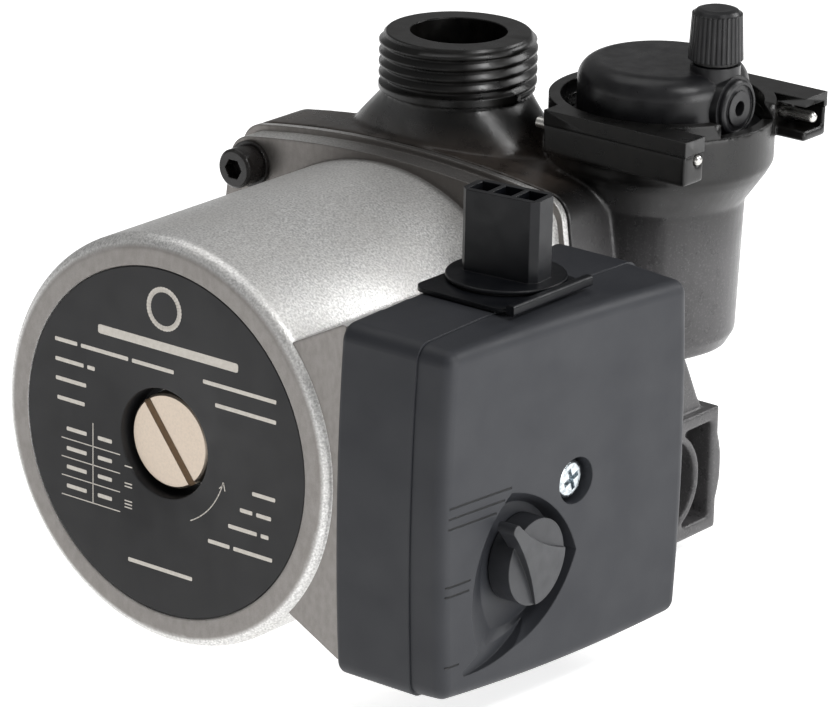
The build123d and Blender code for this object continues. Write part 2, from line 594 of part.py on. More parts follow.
with BuildPart() as pump_housing:
    with BuildSketch(across(VOLUTE_FRONT)) as joint:
        flange_outline()
    extrude(joint.sketch, amount=FLANGE_BACK - VOLUTE_FRONT)
    fillet(pump_housing.edges().group_by(Axis.Y)[-1], 1.5)
    drill(across(VOLUTE_FRONT), VOLUTE_R, VOLUTE_BACK - VOLUTE_FRONT, mode=Mode.ADD)
    fillet(pump_housing.edges().group_by(Axis.Y)[-1], 4.0)
    drill(across(VOLUTE_BACK - 4), 23.0, CHAMBER_BACK - VOLUTE_BACK + 4, mode=Mode.ADD)
    fillet(pump_housing.edges().group_by(Axis.Y)[-1], 5.0)
    # Discharge: a neck that flares down into the volute, under the threaded port
    with BuildSketch(level(24.0, 0, PORT_BACK)) as foot:
        Ellipse(16.0, 14.8)
    with BuildSketch(level(41.0, 0, PORT_BACK)) as swell:
        Ellipse(26.6, 16.5)
    with BuildSketch(level(47.6, 0, PORT_BACK)) as waist:
        Ellipse(21.2, 15.8)
    with BuildSketch(level(NECK_TOP, 0, PORT_BACK)) as throat:
        Ellipse(15.1, 15.0)
    loft([foot.sketch, swell.sketch, waist.sketch, throat.sketch])
    drill(level(NECK_TOP, 0, PORT_BACK), THREAD_R, PORT_HEIGHT - NECK_TOP, mode=Mode.ADD)
    thread_top = pump_housing.edges().group_by(Axis.Z)[-1]
    chamfer(thread_top, 1.5)
    # Inlet: a duct along X that ends in the framed connection
    drill(sideways(0, INLET_Y, INLET_Z), 12.2, INLET_FACE - 9, mode=Mode.ADD)
    block(sideways(INLET_FACE - 11, INLET_Y, INLET_Z), 2 * INLET_HALF_Y, 2 * INLET_HALF_Z, 11)
    with Locations((0, PLATE_Y + INLET_Y, AXIS_Z + INLET_Z)):
        Sphere(12.2)
    with BuildSketch(sideways(INLET_FACE - 11, INLET_Y, INLET_Z)) as bulge:
        Circle(INLET_HALF_Y + 1.4)
        Rectangle(60, 17.0, mode=Mode.INTERSECT)
    extrude(bulge.sketch, amount=11)
    # Gusset between the inlet frame and the separator's rounded bottom
    with BuildSketch(level(INLET_Z + INLET_HALF_Z, 41.5, INLET_Y + 0.5)) as rib_foot:
        Rectangle(9.0, 28.0)
    with BuildSketch(level(9.0, 41.5, INLET_Y + 0.5)) as rib_head:
        Rectangle(7.0, 6.0)
    loft([rib_foot.sketch, rib_head.sketch])
    # Air separator can with the collar that receives the vent head
    spin(upright(AIR_X, AIR_Y), vertical_axis(AIR_X, AIR_Y), [
        (0, AIR_BOTTOM), (12.0, AIR_BOTTOM), (15.2, AIR_BOTTOM + 1.6), (16.9, AIR_BOTTOM + 4.6), (CAN_R, 36.0),
        (COLLAR_R - 1.2, 42.4), (COLLAR_R, 44.6), (COLLAR_R, COLLAR_TOP), (0, COLLAR_TOP),
    ])
    drill(sideways(4.0, AIR_Y - 4, 20.0), 11.0, AIR_X - 4, mode=Mode.ADD)
    # Two channels that guide the retaining pins
    block(level(47.6), 35.5, 6.6, COLLAR_TOP - 47.6, (47.8, AIR_Y - 21.7))
    block(level(47.6), 34.0, 8.0, COLLAR_TOP - 47.6, (48.6, AIR_Y + 21.5))

    # Water passages
    drill(level(32.0, 0, PORT_BACK), PORT_BORE_R, 60)
    drill(across(VOLUTE_FRONT), 35.0, 93.6 - VOLUTE_FRONT)
    drill(across(90.0), 12.9, 12.0)
    drill(across(98.6), 19.0, CHAMBER_BACK - 3.5 - 98.6)
    drill(sideways(0, INLET_Y, INLET_Z), INLET_BORE_R, 60)
    with Locations((0, PLATE_Y + INLET_Y, AXIS_Z + INLET_Z)):
        Sphere(INLET_BORE_R, mode=Mode.SUBTRACT)
    drill(level(INLET_Z, 0, INLET_Y), 9.0, -INLET_Z)
    spin(upright(AIR_X, AIR_Y), vertical_axis(AIR_X, AIR_Y), [
        (0, AIR_BOTTOM + 3.0), (12.0, AIR_BOTTOM + 3.0), (14.6, AIR_BOTTOM + 5.6), (15.4, 38.0), (COLLAR_BORE_R, 42.6),
        (COLLAR_BORE_R, COLLAR_TOP), (0, COLLAR_TOP),
    ], Mode.SUBTRACT)
    drill(sideways(0, AIR_Y - 4, 20.0), 7.5, AIR_X)
    drill(across(98.6), 7.5, 10.0, [(-6, 20.0)])
    # Rim notch in front of the valve, and the pin channels
    block(level(COLLAR_TOP - 3.0), 12.0, 19.0, 4, (AIR_X + 22.0, AIR_Y), Mode.SUBTRACT)
    drill(sideways(20, AIR_Y - PIN_OFFSET, PIN_Z), PIN_R + 0.1, 60)
    drill(sideways(20, AIR_Y + PIN_OFFSET, PIN_Z), PIN_R + 0.1, 60)
    block(sideways(58.0, AIR_Y + 20.9, PIN_Z), 7.2, 5.4, 12, mode=Mode.SUBTRACT)
    # Inlet recess that leaves a frame and a round collar standing
    with BuildSketch(sideways(INLET_FACE - 7.0, INLET_Y, INLET_Z)) as recess:
        Rectangle(2 * INLET_HALF_Y - 5.2, 2 * INLET_HALF_Z - 6.0)
        Circle(INLET_BORE_R + 1.7, mode=Mode.SUBTRACT)
    extrude(recess.sketch, amount=8, mode=Mode.SUBTRACT)
    inlet_holes = [(i * INLET_BOLT_Y, j * INLET_BOLT_Z) for i in (-1, 1) for j in (-1, 1)]
    drill(sideways(INLET_FACE - 12, INLET_Y, INLET_Z), INLET_BOLT_R, 13, inlet_holes)
    drill(across(VOLUTE_FRONT), BOLT_R + 0.05, 13.0, BOLT_PLACES)
    # G1 external thread, cut as one helical groove
    with BuildLine(level(NECK_TOP + 0.6, 0, PORT_BACK)) as helix:
        Helix(THREAD_PITCH, 5.6 * THREAD_PITCH, THREAD_R)
    groove_start = helix.line @ 0
    groove_plane = Plane(origin=groove_start, x_dir=(1, 0, 0), z_dir=helix.line % 0)
    with BuildSketch(groove_plane) as groove:
        with BuildLine():
            Polyline((0.35, -1.08), (-THREAD_DEPTH, -0.22), (-THREAD_DEPTH, 0.22), (0.35, 1.08), close=True)
        make_face()
    sweep(groove.sketch, path=helix.line, is_frenet=True, mode=Mode.SUBTRACT)
pump_housing.part.label = "pump_housing"

with BuildPart() as retaining_pins:
    for side in (-1, 1):
        drill(sideways(25.5, AIR_Y + side * PIN_OFFSET, PIN_Z), PIN_R, 40.8, mode=Mode.ADD)
    fillet(retaining_pins.edges().group_by(Axis.X)[-1], PIN_R - 0.05)
retaining_pins.part.label = "retaining_pins"

# ---------------------------------------------------------------- automatic vent

AIR_AXIS = vertical_axis(AIR_X, AIR_Y)
with BuildPart() as vent_head:
    drill(level(44.0, AIR_X, AIR_Y), 20.9, 7.25, mode=Mode.ADD)
    drill(level(51.0, AIR_X, AIR_Y), HEAD_R, HEAD_TOP - 51.0, mode=Mode.ADD)
    fillet(vent_head.edges().group_by(Axis.Z)[-1], 4.4)
    # Valve boss towards +X under the cap's neck
    drill(sideways(AIR_X + 6, AIR_Y, VALVE_Z), 6.7, 60.0 - AIR_X - 6, mode=Mode.ADD)
    drill(level(52.0, CAP_X, AIR_Y), 5.2, 14.4, mode=Mode.ADD)
    drill(level(60.0, CAP_X, AIR_Y), 3.0, 14.0, mode=Mode.ADD)
    # Hollow underside, the passage to the valve and the O-ring groove
    drill(level(44.0, AIR_X, AIR_Y), 15.6, 16.8)
    drill(sideways(AIR_X + 10, AIR_Y, VALVE_Z), 3.6, 20)
    drill(level(VALVE_Z, CAP_X, AIR_Y), 1.2, 20)
    spin(upright(AIR_X, AIR_Y), AIR_AXIS, [(19.0, 46.4), (22, 46.4), (22, 48.8), (19.0, 48.8)], Mode.SUBTRACT)
vent_head.part.label = "vent_head"

with BuildPart() as vent_head_oring:
    with BuildSketch(upright(AIR_X, AIR_Y)) as section:
        with Locations((20.03, 47.6)):
            Circle(1.02)
    revolve(section.sketch, axis=AIR_AXIS)
vent_head_oring.part.label = "vent_head_oring"

with BuildPart() as valve_plug:
    drill(sideways(52.0, AIR_Y, VALVE_Z), 3.5, 8.0, mode=Mode.ADD)
    drill(sideways(60.0, AIR_Y, VALVE_Z), 5.9, 1.2, mode=Mode.ADD)
    chamfer(valve_plug.edges().group_by(Axis.X)[-1], 0.4)
    with BuildSketch(sideways(60.7, AIR_Y, VALVE_Z)) as ring:
        Circle(4.9)
        Circle(3.7, mode=Mode.SUBTRACT)
    extrude(ring.sketch, amount=1, mode=Mode.SUBTRACT)
    for side in (-1, 1):
        block(sideways(49.2, AIR_Y + 2.2 * side, LEVER_Z), 1.2, 2.4, 3.4)
    drill(across(AIR_Y - 5), 0.42, 10, [(-LEVER_X, LEVER_Z)])
    drill(sideways(52.0, AIR_Y, VALVE_Z), 1.6, 10)
valve_plug.part.label = "valve_plug"

CAP_AXIS = vertical_axis(CAP_X, AIR_Y)
CAP_TOP = 78.0
CAP_BOTTOM = 67.4
CAP_RIBS = 32
CAP_FOOT_R = 5.7
CAP_HEAD_R = 5.2


def ribbed(radius):
    Circle(radius)
    with PolarLocations(radius, CAP_RIBS):
        Circle(0.26, mode=Mode.SUBTRACT)


with BuildPart() as vent_cap:
    with BuildSketch(level(CAP_BOTTOM, CAP_X, AIR_Y)) as foot:
        ribbed(CAP_FOOT_R)
    with BuildSketch(level(CAP_TOP - 1.0, CAP_X, AIR_Y)) as head:
        ribbed(CAP_HEAD_R)
    loft([foot.sketch, head.sketch], ruled=True)
    spin(upright(CAP_X, AIR_Y), CAP_AXIS, [
        (0, CAP_TOP - 1.0), (CAP_HEAD_R - 0.3, CAP_TOP - 1.0), (CAP_HEAD_R - 0.9, CAP_TOP - 0.3),
        (CAP_HEAD_R - 1.8, CAP_TOP), (0, CAP_TOP),
    ])
    drill(level(CAP_BOTTOM, CAP_X, AIR_Y), 3.05, CAP_TOP - 2.4 - CAP_BOTTOM)
vent_cap.part.label = "vent_cap"

with BuildPart() as vent_cap_washer:
    drill(level(CAP_BOTTOM - 0.8, CAP_X, AIR_Y), 4.6, 0.7, mode=Mode.ADD)
    drill(level(CAP_BOTTOM - 0.9, CAP_X, AIR_Y), 3.05, 1)
vent_cap_washer.part.label = "vent_cap_washer"

with BuildPart() as float_body:
    spin(upright(AIR_X, AIR_Y), AIR_AXIS, [
        (0, 7.0), (9.0, 7.0), (12.4, 9.4), (12.4, 27.0), (9.0, 30.0), (0, 30.0),
    ])
float_body.part.label = "float_body"

with BuildPart() as float_stem:
    drill(level(30.0, AIR_X, AIR_Y), 1.2, LEVER_Z - 1.3 - 30.0, mode=Mode.ADD)
float_stem.part.label = "float_stem"

with BuildPart() as float_lever:
    block(sideways(AIR_X - 1.0, AIR_Y, LEVER_Z), 2.4, 2.0, LEVER_X + 0.9 - AIR_X + 1.0)
    drill(across(AIR_Y - 2), 0.45, 4, [(-LEVER_X, LEVER_Z)])
float_lever.part.label = "float_lever"

with BuildPart() as lever_pin:
    drill(across(AIR_Y - 3.2), 0.4, 6.4, [(-LEVER_X, LEVER_Z)], Mode.ADD)
lever_pin.part.label = "lever_pin"

PIECES = [
    stator_housing, stator_core, stator_windings, motor_leads, rotor_can, front_bearing, thrust_bearing, shaft,
    rotor, rear_bearing, bearing_plate, impeller, neck_ring, name_plate, vent_screw, vent_screw_oring,
    housing_gasket, housing_bolts, bolt_washers, box_gasket, terminal_box_base, box_screws, terminal_box_cover,
    terminal_board, board_posts, speed_switch, switch_rotor, speed_knob, cover_screw, capacitor, capacitor_leads,
    connector_plate, connector_latch, connector_seal, connector_tower, contact_pins, pump_housing,
    retaining_pins, vent_head, vent_head_oring, valve_plug, vent_cap, vent_cap_washer, float_body, float_stem,
    float_lever, lever_pin,
]
os.makedirs("parts", exist_ok=True)
for piece in PIECES:
    export_step(piece.part, "parts/" + piece.part.label + ".step")
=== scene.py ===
import json
import math

import bmesh
import bpy
from mathutils import Matrix, Vector

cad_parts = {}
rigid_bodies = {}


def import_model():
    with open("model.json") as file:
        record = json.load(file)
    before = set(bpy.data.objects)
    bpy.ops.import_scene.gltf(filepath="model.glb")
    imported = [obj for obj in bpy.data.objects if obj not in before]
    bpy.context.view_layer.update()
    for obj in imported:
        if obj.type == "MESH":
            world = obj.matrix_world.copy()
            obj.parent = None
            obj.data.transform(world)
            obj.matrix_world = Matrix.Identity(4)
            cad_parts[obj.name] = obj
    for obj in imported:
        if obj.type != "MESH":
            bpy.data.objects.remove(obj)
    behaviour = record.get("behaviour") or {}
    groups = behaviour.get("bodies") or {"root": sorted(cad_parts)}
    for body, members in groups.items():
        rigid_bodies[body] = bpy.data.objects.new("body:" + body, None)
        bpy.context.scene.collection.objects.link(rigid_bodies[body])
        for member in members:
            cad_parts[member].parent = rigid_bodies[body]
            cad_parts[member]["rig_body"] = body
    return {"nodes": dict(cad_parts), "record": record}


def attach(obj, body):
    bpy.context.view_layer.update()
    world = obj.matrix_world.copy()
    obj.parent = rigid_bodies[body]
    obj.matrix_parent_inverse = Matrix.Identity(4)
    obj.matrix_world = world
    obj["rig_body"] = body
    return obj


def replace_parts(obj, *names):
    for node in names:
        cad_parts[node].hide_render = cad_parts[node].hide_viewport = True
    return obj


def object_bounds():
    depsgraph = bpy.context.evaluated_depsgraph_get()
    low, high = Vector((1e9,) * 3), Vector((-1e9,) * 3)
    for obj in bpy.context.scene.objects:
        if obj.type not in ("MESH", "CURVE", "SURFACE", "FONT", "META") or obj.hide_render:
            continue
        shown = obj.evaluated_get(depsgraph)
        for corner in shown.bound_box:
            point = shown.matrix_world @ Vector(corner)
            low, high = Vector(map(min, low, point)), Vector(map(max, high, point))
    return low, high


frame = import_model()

cad_low, cad_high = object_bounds()
NODES = frame["nodes"]

# Places are given in millimetres as (x, y back from the name plate, z above the motor axis).
PORT_BACK = 93.0
PORT_HEIGHT = 66.0
MM = 0.001


def at(x, y, z):
    return Vector((x, y - PORT_BACK, z - PORT_HEIGHT)) * MM


# ---------------------------------------------------------------- materials


class Look:
    """A procedural material, built up from the object's own coordinates."""

    def __init__(self, name, colour, roughness, metallic=0.0, specular=0.5):
        self.material = bpy.data.materials.new(name)
        self.material.use_nodes = True
        self.tree = self.material.node_tree
        self.shader = self.tree.nodes["Principled BSDF"]
        self.shader.inputs["Base Color"].default_value = (*colour, 1)
        self.shader.inputs["Roughness"].default_value = roughness
        self.shader.inputs["Metallic"].default_value = metallic
        self.shader.inputs["Specular IOR Level"].default_value = specular
        self.place = self.node("ShaderNodeTexCoord").outputs["Object"]
        self.normal = None

    def node(self, kind, **settings):
        made = self.tree.nodes.new(kind)
        for key, value in settings.items():
            setattr(made, key, value)
        return made

    def link(self, start, end):
        self.tree.links.new(start, end)

    def noise(self, size_mm, detail=3.0, stretch=(1, 1, 1), distortion=0.0):
        """Noise whose features are about this big; stretch makes them longer that way."""
        scaled = self.node("ShaderNodeMapping")
        self.link(self.place, scaled.inputs["Vector"])
        scaled.inputs["Scale"].default_value = [1 / s for s in stretch]
        made = self.node("ShaderNodeTexNoise")
        made.inputs["Scale"].default_value = 1 / (size_mm * MM)
        made.inputs["Detail"].default_value = detail
        made.inputs["Distortion"].default_value = distortion
        self.link(scaled.outputs[0], made.inputs["Vector"])
        return made.outputs["Fac"]

    def ramp(self, value, low, high, start, end):
        made = self.node("ShaderNodeMapRange", clamp=True)
        self.link(value, made.inputs["Value"])
        made.inputs["From Min"].default_value = low
        made.inputs["From Max"].default_value = high
        made.inputs["To Min"].default_value = start
        made.inputs["To Max"].default_value = end
        return made.outputs["Result"]

    def blend(self, factor, first, second, mode="MIX"):
        """Mixes two colours, each a tuple or a socket."""
        made = self.node("ShaderNodeMix", data_type="RGBA", blend_type=mode)
        if isinstance(factor, float):
            made.inputs["Factor"].default_value = factor
        else:
            self.link(factor, made.inputs["Factor"])
        for socket, colour in ((made.inputs[6], first), (made.inputs[7], second)):
            if isinstance(colour, tuple):
                socket.default_value = (*colour, 1)
            else:
                self.link(colour, socket)
        return made.outputs[2]

    def axes(self):
        """The object's own X, Y and Z, each a socket."""
        made = self.node("ShaderNodeSeparateXYZ")
        self.link(self.place, made.inputs[0])
        return made.outputs

    def colour(self, socket):
        self.link(socket, self.shader.inputs["Base Color"])
        return self

    def rough(self, socket):
        self.link(socket, self.shader.inputs["Roughness"])
        return self

    def bump(self, height, strength, depth_mm):
        made = self.node("ShaderNodeBump")
        if isinstance(strength, float):
            made.inputs["Strength"].default_value = strength
        else:
            self.link(strength, made.inputs["Strength"])
        made.inputs["Distance"].default_value = depth_mm * MM
        self.link(height, made.inputs["Height"])
        if self.normal is not None:
            self.link(self.normal, made.inputs["Normal"])
        self.normal = made.outputs["Normal"]
        self.link(self.normal, self.shader.inputs["Normal"])
        return self

    def soft_edges(self, radius_mm):
        """Light catches on the edges, as on a moulding or casting."""
        made = self.node("ShaderNodeBevel", samples=4)
        made.inputs["Radius"].default_value = radius_mm * MM
        self.normal = made.outputs["Normal"]
        self.link(self.normal, self.shader.inputs["Normal"])
        return self

    def facing(self, axis, low, high):
        """0 to 1 as the surface turns towards a direction."""
        seen = self.node("ShaderNodeVectorMath", operation="DOT_PRODUCT")
        self.link(self.node("ShaderNodeNewGeometry").outputs["Normal"], seen.inputs[0])
        seen.inputs[1].default_value = axis
        return self.ramp(seen.outputs["Value"], low, high, 0.0, 1.0)


# Painted shade and dark reflection on the motor's flange: it starts between two places back, and along X it
# darkens and then ends
FLANGE_SHADE_STARTS = (66.5, 68.5)
FLANGE_SHADE_DARKENS = (-26.0, -6.0)
FLANGE_SHADE_ENDS = (24.0, 36.0)


def blasted_aluminium():
    """Die casting, shot-blasted to a sparkle, with a turned front face."""
    look = Look("blasted aluminium", (0.62, 0.605, 0.58), 0.42, metallic=0.85)
    look.soft_edges(0.7)
    grain = look.noise(0.45, detail=2.0)
    fine = look.noise(0.22, detail=1.0)
    cloud = look.noise(14.0, detail=2.0)
    front = look.facing((0, -1, 0), 0.9, 0.99)
    grains = look.ramp(grain, 0.3, 0.7, 0.0, 1.0)
    body = look.blend(grains, (0.50, 0.495, 0.488), (0.95, 0.945, 0.93))
    body = look.blend(look.ramp(cloud, 0.35, 0.65, 0.0, 0.35), body, (0.68, 0.665, 0.64))
    lathe_lines = look.noise(1.1, detail=4.0, stretch=(1, 1, 2))
    lathed = look.ramp(lathe_lines, 0.35, 0.65, 0.0, 1.0)
    face = look.blend(lathed, (0.245, 0.230, 0.217), (0.28, 0.265, 0.252))
    skin = look.blend(front, body, face)
    axes = look.axes()
    # Painted shade and dark reflection on the flange behind the cylinder: darkest part way along X, gone
    # further along
    on_flange = look.ramp(axes["Y"], at(0, FLANGE_SHADE_STARTS[0], 0).y, at(0, FLANGE_SHADE_STARTS[1], 0).y, 0.0, 1.0)
    darker = look.ramp(axes["X"], FLANGE_SHADE_DARKENS[0] * MM, FLANGE_SHADE_DARKENS[1] * MM, 0.15, 0.85)
    kept = look.ramp(axes["X"], FLANGE_SHADE_ENDS[0] * MM, FLANGE_SHADE_ENDS[1] * MM, 1.0, 0.0)
    painted_flange_shade = look.blend(darker, skin, (0.10, 0.092, 0.086))
    painted_flange_shade = look.blend(kept, skin, painted_flange_shade)
    look.colour(look.blend(on_flange, skin, painted_flange_shade))
    look.rough(look.ramp(fine, 0.3, 0.7, 0.36, 0.56))
    return look.bump(grain, look.ramp(front, 0.0, 1.0, 0.75, 0.10), 0.10)


def moulded(name, low, high, size_mm, roughness, fibre=0.0, specular=0.5, edge=0.3, grain=0.16):
    """Plastic with a slight cloudiness and a fine spark-eroded surface."""
    look = Look(name, low, roughness, specular=specular)
    look.soft_edges(edge)
    cloud = look.noise(size_mm, detail=5.0, distortion=0.4)
    shade = look.blend(look.ramp(cloud, 0.35, 0.68, 0.0, 1.0), low, high)
    if fibre:
        streaks = look.noise(0.5, detail=3.0, stretch=(1, 2.5, 1))
        pale = tuple(min(1.0, c * 1.9) for c in high)
        shade = look.blend(look.ramp(streaks, 0.5, 0.78, 0.0, fibre), shade, pale)
    look.colour(shade)
    patches = look.noise(size_mm * 0.6, detail=3.0)
    look.rough(look.ramp(patches, 0.3, 0.7, roughness - 0.06, roughness + 0.08))
    return look.bump(look.noise(grain, detail=2.0), 0.35, 0.03)


def turned_metal(name, colour, roughness, size_mm=0.5, stretch=(1, 1, 1), metallic=1.0, wear=0.75):
    look = Look(name, colour, roughness, metallic=metallic)
    look.soft_edges(0.15)
    lines = look.noise(size_mm, detail=3.0, stretch=stretch)
    dark = tuple(c * wear for c in colour)
    look.colour(look.blend(look.ramp(lines, 0.35, 0.65, 0.0, 1.0), dark, colour))
    look.rough(look.ramp(lines, 0.3, 0.7, roughness - 0.06, roughness + 0.1))
    return look.bump(lines, 0.2, 0.02)


def laminated():
    look = Look("stacked steel", (0.2, 0.2, 0.21), 0.5, metallic=0.8)
    sheets = look.noise(0.5, detail=1.0, stretch=(60, 1, 60))
    edges = look.ramp(sheets, 0.4, 0.6, 0.0, 1.0)
    look.colour(look.blend(edges, (0.12, 0.12, 0.13), (0.36, 0.36, 0.37)))
    return look.bump(sheets, 0.5, 0.1)


def wound_copper():
    look = Look("enamelled copper", (0.55, 0.2, 0.08), 0.32, metallic=0.7)
    turns = look.noise(0.7, detail=2.0, stretch=(8, 1, 8))
    wires = look.ramp(turns, 0.35, 0.65, 0.0, 1.0)
    look.colour(look.blend(wires, (0.22, 0.07, 0.03), (0.66, 0.27, 0.11)))
    return look.bump(turns, 0.7, 0.2)


# Where the housing's shades meet, from the centre of the port's sealing face, and how far cloud moves that
EDGE_WAVE = 6.0
CAN_SIDE = (36.0, 42.0)
NECK_SHADE = (-22.0, -13.0)
COLLAR_SHADE = (-38.0, -20.0)


def glass_filled():
    """Glass-fibre filled moulding: brown-black volute, black neck and collar, cloudy grey can and inlet."""
    look = Look("glass-filled moulding", (0.03, 0.028, 0.026), 0.42, specular=0.4)
    look.soft_edges(0.5)
    cloud = look.noise(3.4, detail=4.0, distortion=0.15)
    speck = look.noise(0.45, detail=3.0)
    axes = look.axes()

    def along(axis, low_mm, high_mm):
        """0 to 1 between two places on an axis, with a cloudy edge."""
        wavy = look.node("ShaderNodeMath", operation="MULTIPLY_ADD")
        look.link(cloud, wavy.inputs[0])
        wavy.inputs[1].default_value = EDGE_WAVE * MM
        look.link(axes[axis], wavy.inputs[2])
        return look.ramp(wavy.outputs[0], low_mm * MM, high_mm * MM, 0.0, 1.0)

    spread = look.ramp(cloud, 0.32, 0.70, 0.0, 1.0)
    grey = look.blend(spread, (0.050, 0.049, 0.050), (0.062, 0.060, 0.062))
    grey = look.blend(look.ramp(speck, 0.54, 0.76, 0.0, 0.5), grey, (0.17, 0.165, 0.165))
    brown = look.blend(spread, (0.022, 0.017, 0.014), (0.070, 0.056, 0.047))
    black = look.blend(spread, (0.001, 0.001, 0.001), (0.004, 0.0035, 0.003))
    volute = look.blend(along("Z", *NECK_SHADE), brown, black)
    can = look.blend(along("Z", *COLLAR_SHADE), grey, black)
    look.colour(look.blend(along("X", *CAN_SIDE), volute, can))
    look.rough(look.ramp(cloud, 0.3, 0.7, 0.25, 0.36))
    return look.bump(look.noise(0.3, detail=3.0), 0.4, 0.03)


LOOKS = {
    "cast_aluminium": blasted_aluminium(),
    "electrical_steel": laminated(),
    "copper": wound_copper(),
    "insulated_wire": moulded("wire sheath", (0.42, 0.03, 0.02), (0.52, 0.05, 0.03), 4.0, 0.4),
    "stainless": turned_metal("drawn stainless", (0.66, 0.65, 0.62), 0.26, 0.6, (6, 1, 1)),
    "carbon": moulded("ground carbon", (0.02, 0.02, 0.02), (0.04, 0.04, 0.04), 2.0, 0.4),
    "ceramic": moulded("ground ceramic", (0.78, 0.76, 0.70), (0.86, 0.84, 0.79), 3.0, 0.25),
    "impeller_plastic": moulded("impeller", (0.06, 0.055, 0.05), (0.12, 0.11, 0.10), 2.0, 0.5, 0.3),
    "plate_black": moulded(
        "satin plate", (0.011, 0.011, 0.012), (0.015, 0.015, 0.016),
        9.0, 0.38, specular=0.3, edge=0.1,
    ),
    "nickel_brass": turned_metal("nickel", (0.62, 0.53, 0.44), 0.36, 0.5, (1, 1, 1), wear=0.86),
    "seal_rubber": moulded("rubber", (0.012, 0.012, 0.012), (0.022, 0.022, 0.022), 3.0, 0.65),
    "black_steel": moulded(
        "black oxide", (0.005, 0.004, 0.004), (0.014, 0.012, 0.011),
        1.2, 0.30, specular=0.5,
    ),
    "box_plastic": moulded(
        "box", (0.020, 0.0215, 0.026), (0.025, 0.0265, 0.031),
        16.0, 0.5, specular=0.34, edge=0.4,
    ),
    "connector_plastic": moulded(
        "connector", (0.003, 0.0035, 0.005), (0.006, 0.0065, 0.008),
        6.0, 0.34, specular=0.25,
    ),
    "knob_plastic": moulded(
        "knob", (0.020, 0.021, 0.024), (0.026, 0.027, 0.031),
        6.0, 0.40, specular=0.45, edge=0.3,
    ),
    "zinc": turned_metal("zinc", (0.74, 0.80, 0.84), 0.2, 0.7, (1, 1, 1), wear=0.55),
    "board": moulded("board", (0.02, 0.12, 0.04), (0.03, 0.18, 0.06), 3.0, 0.4),
    "internal_plastic": moulded("natural plastic", (0.55, 0.54, 0.50), (0.63, 0.62, 0.58), 5.0, 0.5),
    "capacitor_case": moulded("capacitor", (0.55, 0.56, 0.54), (0.62, 0.63, 0.6), 5.0, 0.3),
    "glass_filled_black": glass_filled(),
    "vent_plastic": moulded(
        "vent", (0.006, 0.006, 0.007), (0.013, 0.013, 0.014),
        5.0, 0.32, specular=0.35, edge=0.4,
    ),
}
PRINT = moulded("pale print", (0.62, 0.58, 0.52), (0.70, 0.66, 0.60), 1.0, 0.5, edge=0.05)
# Near-black bars in the scored grooves of the cover: painted shade
GROOVE_SHADE = moulded("painted groove shade", (0.002, 0.002, 0.002), (0.004, 0.004, 0.004), 1.0, 0.5, edge=0.05)

SLOT_OF = {row["node"]: row["material_slot"] for row in frame["record"]["subparts"]}
for name, node in NODES.items():
    node.data.materials.clear()
    node.data.materials.append(LOOKS[SLOT_OF[name]].material)


# ---------------------------------------------------------------- pieces that stand for CAD nodes


def make_object(name, mesh, look, body):
    made = bpy.data.objects.new(name, mesh)
    bpy.context.scene.collection.objects.link(made)
    mesh.materials.clear()
    mesh.materials.append(look.material)
    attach(made, body)
    return made


def body_of(node):
    return NODES[node]["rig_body"]


def stand_in(name, node, mesh):
    """A better mesh shown in place of one CAD node."""
    slot = SLOT_OF[node]
    made = make_object(name, mesh, LOOKS[slot], body_of(node))
    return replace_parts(made, node)


BAR_ROUND = 0.25


def bars(name, rectangles, thickness, place, look, body):
    """Thin bars, each (centre u, centre v, width, height, degrees), with place(u, v, depth) for a point."""
    mesh = bpy.data.meshes.new(name)
    form = bmesh.new()
    for u, v, width, height, degrees in rectangles:
        c = math.cos(math.radians(degrees))
        s = math.sin(math.radians(degrees))
        r = min(width, height) * BAR_ROUND
        outline = []
        for sx, sy, order in ((1, 1, 0), (-1, 1, 1), (-1, -1, 2), (1, -1, 3)):
            for step in (0, 1, 2):
                turn = math.radians(90 * order + 45 * step)
                du = sx * (width / 2 - r) + r * math.cos(turn)
                dv = sy * (height / 2 - r) + r * math.sin(turn)
                outline.append((u + du * c - dv * s, v + du * s + dv * c))
        top = [form.verts.new(place(a, b, 0.0)) for a, b in outline]
        bottom = [form.verts.new(place(a, b, thickness)) for a, b in outline]
        form.faces.new(top)
        form.faces.new(reversed(bottom))
        for i in range(len(top)):
            j = (i + 1) % len(top)
            form.faces.new((bottom[i], bottom[j], top[j], top[i]))
    bmesh.ops.recalc_face_normals(form, faces=form.faces)
    form.to_mesh(mesh)
    form.free()
    return make_object(name, mesh, look, body)


def copy_of(node, weld_mm=0.002):
    """The CAD node's mesh as a new bmesh with its points welded."""
    form = bmesh.new()
    form.from_mesh(NODES[node].data)
    bmesh.ops.remove_doubles(form, verts=form.verts, dist=weld_mm * MM)
    return form


def finished(name, form):
    mesh = bpy.data.meshes.new(name)
    form.to_mesh(mesh)
    form.free()
    return mesh


def bake(made):
    """Applies an object's modifiers to its mesh."""
    depsgraph = bpy.context.evaluated_depsgraph_get()
    baked = bpy.data.meshes.new_from_object(made.evaluated_get(depsgraph))
    made.modifiers.clear()
    made.data = baked


THREAD_FOOT = 53.9
THREAD_MARGIN = 1.2
THREAD_SHARP = math.radians(35)
HOUSING_VOXEL = 0.45
HOUSING_ROUNDS = 5
SMOOTHING = 0.6


def half_of(node, height, side):
    """The node's mesh below (side 1) or above (side -1) a height, closed where it was cut."""
    form = copy_of(node)
    whole = form.verts[:] + form.edges[:] + form.faces[:]
    cut = at(0, 0, height)
    bmesh.ops.bisect_plane(form, geom=whole, plane_co=cut, plane_no=(0, 0, side), clear_outer=True)
    rim = [e for e in form.edges if e.is_boundary]
    bmesh.ops.triangle_fill(form, edges=rim, use_beauty=True)
    return form


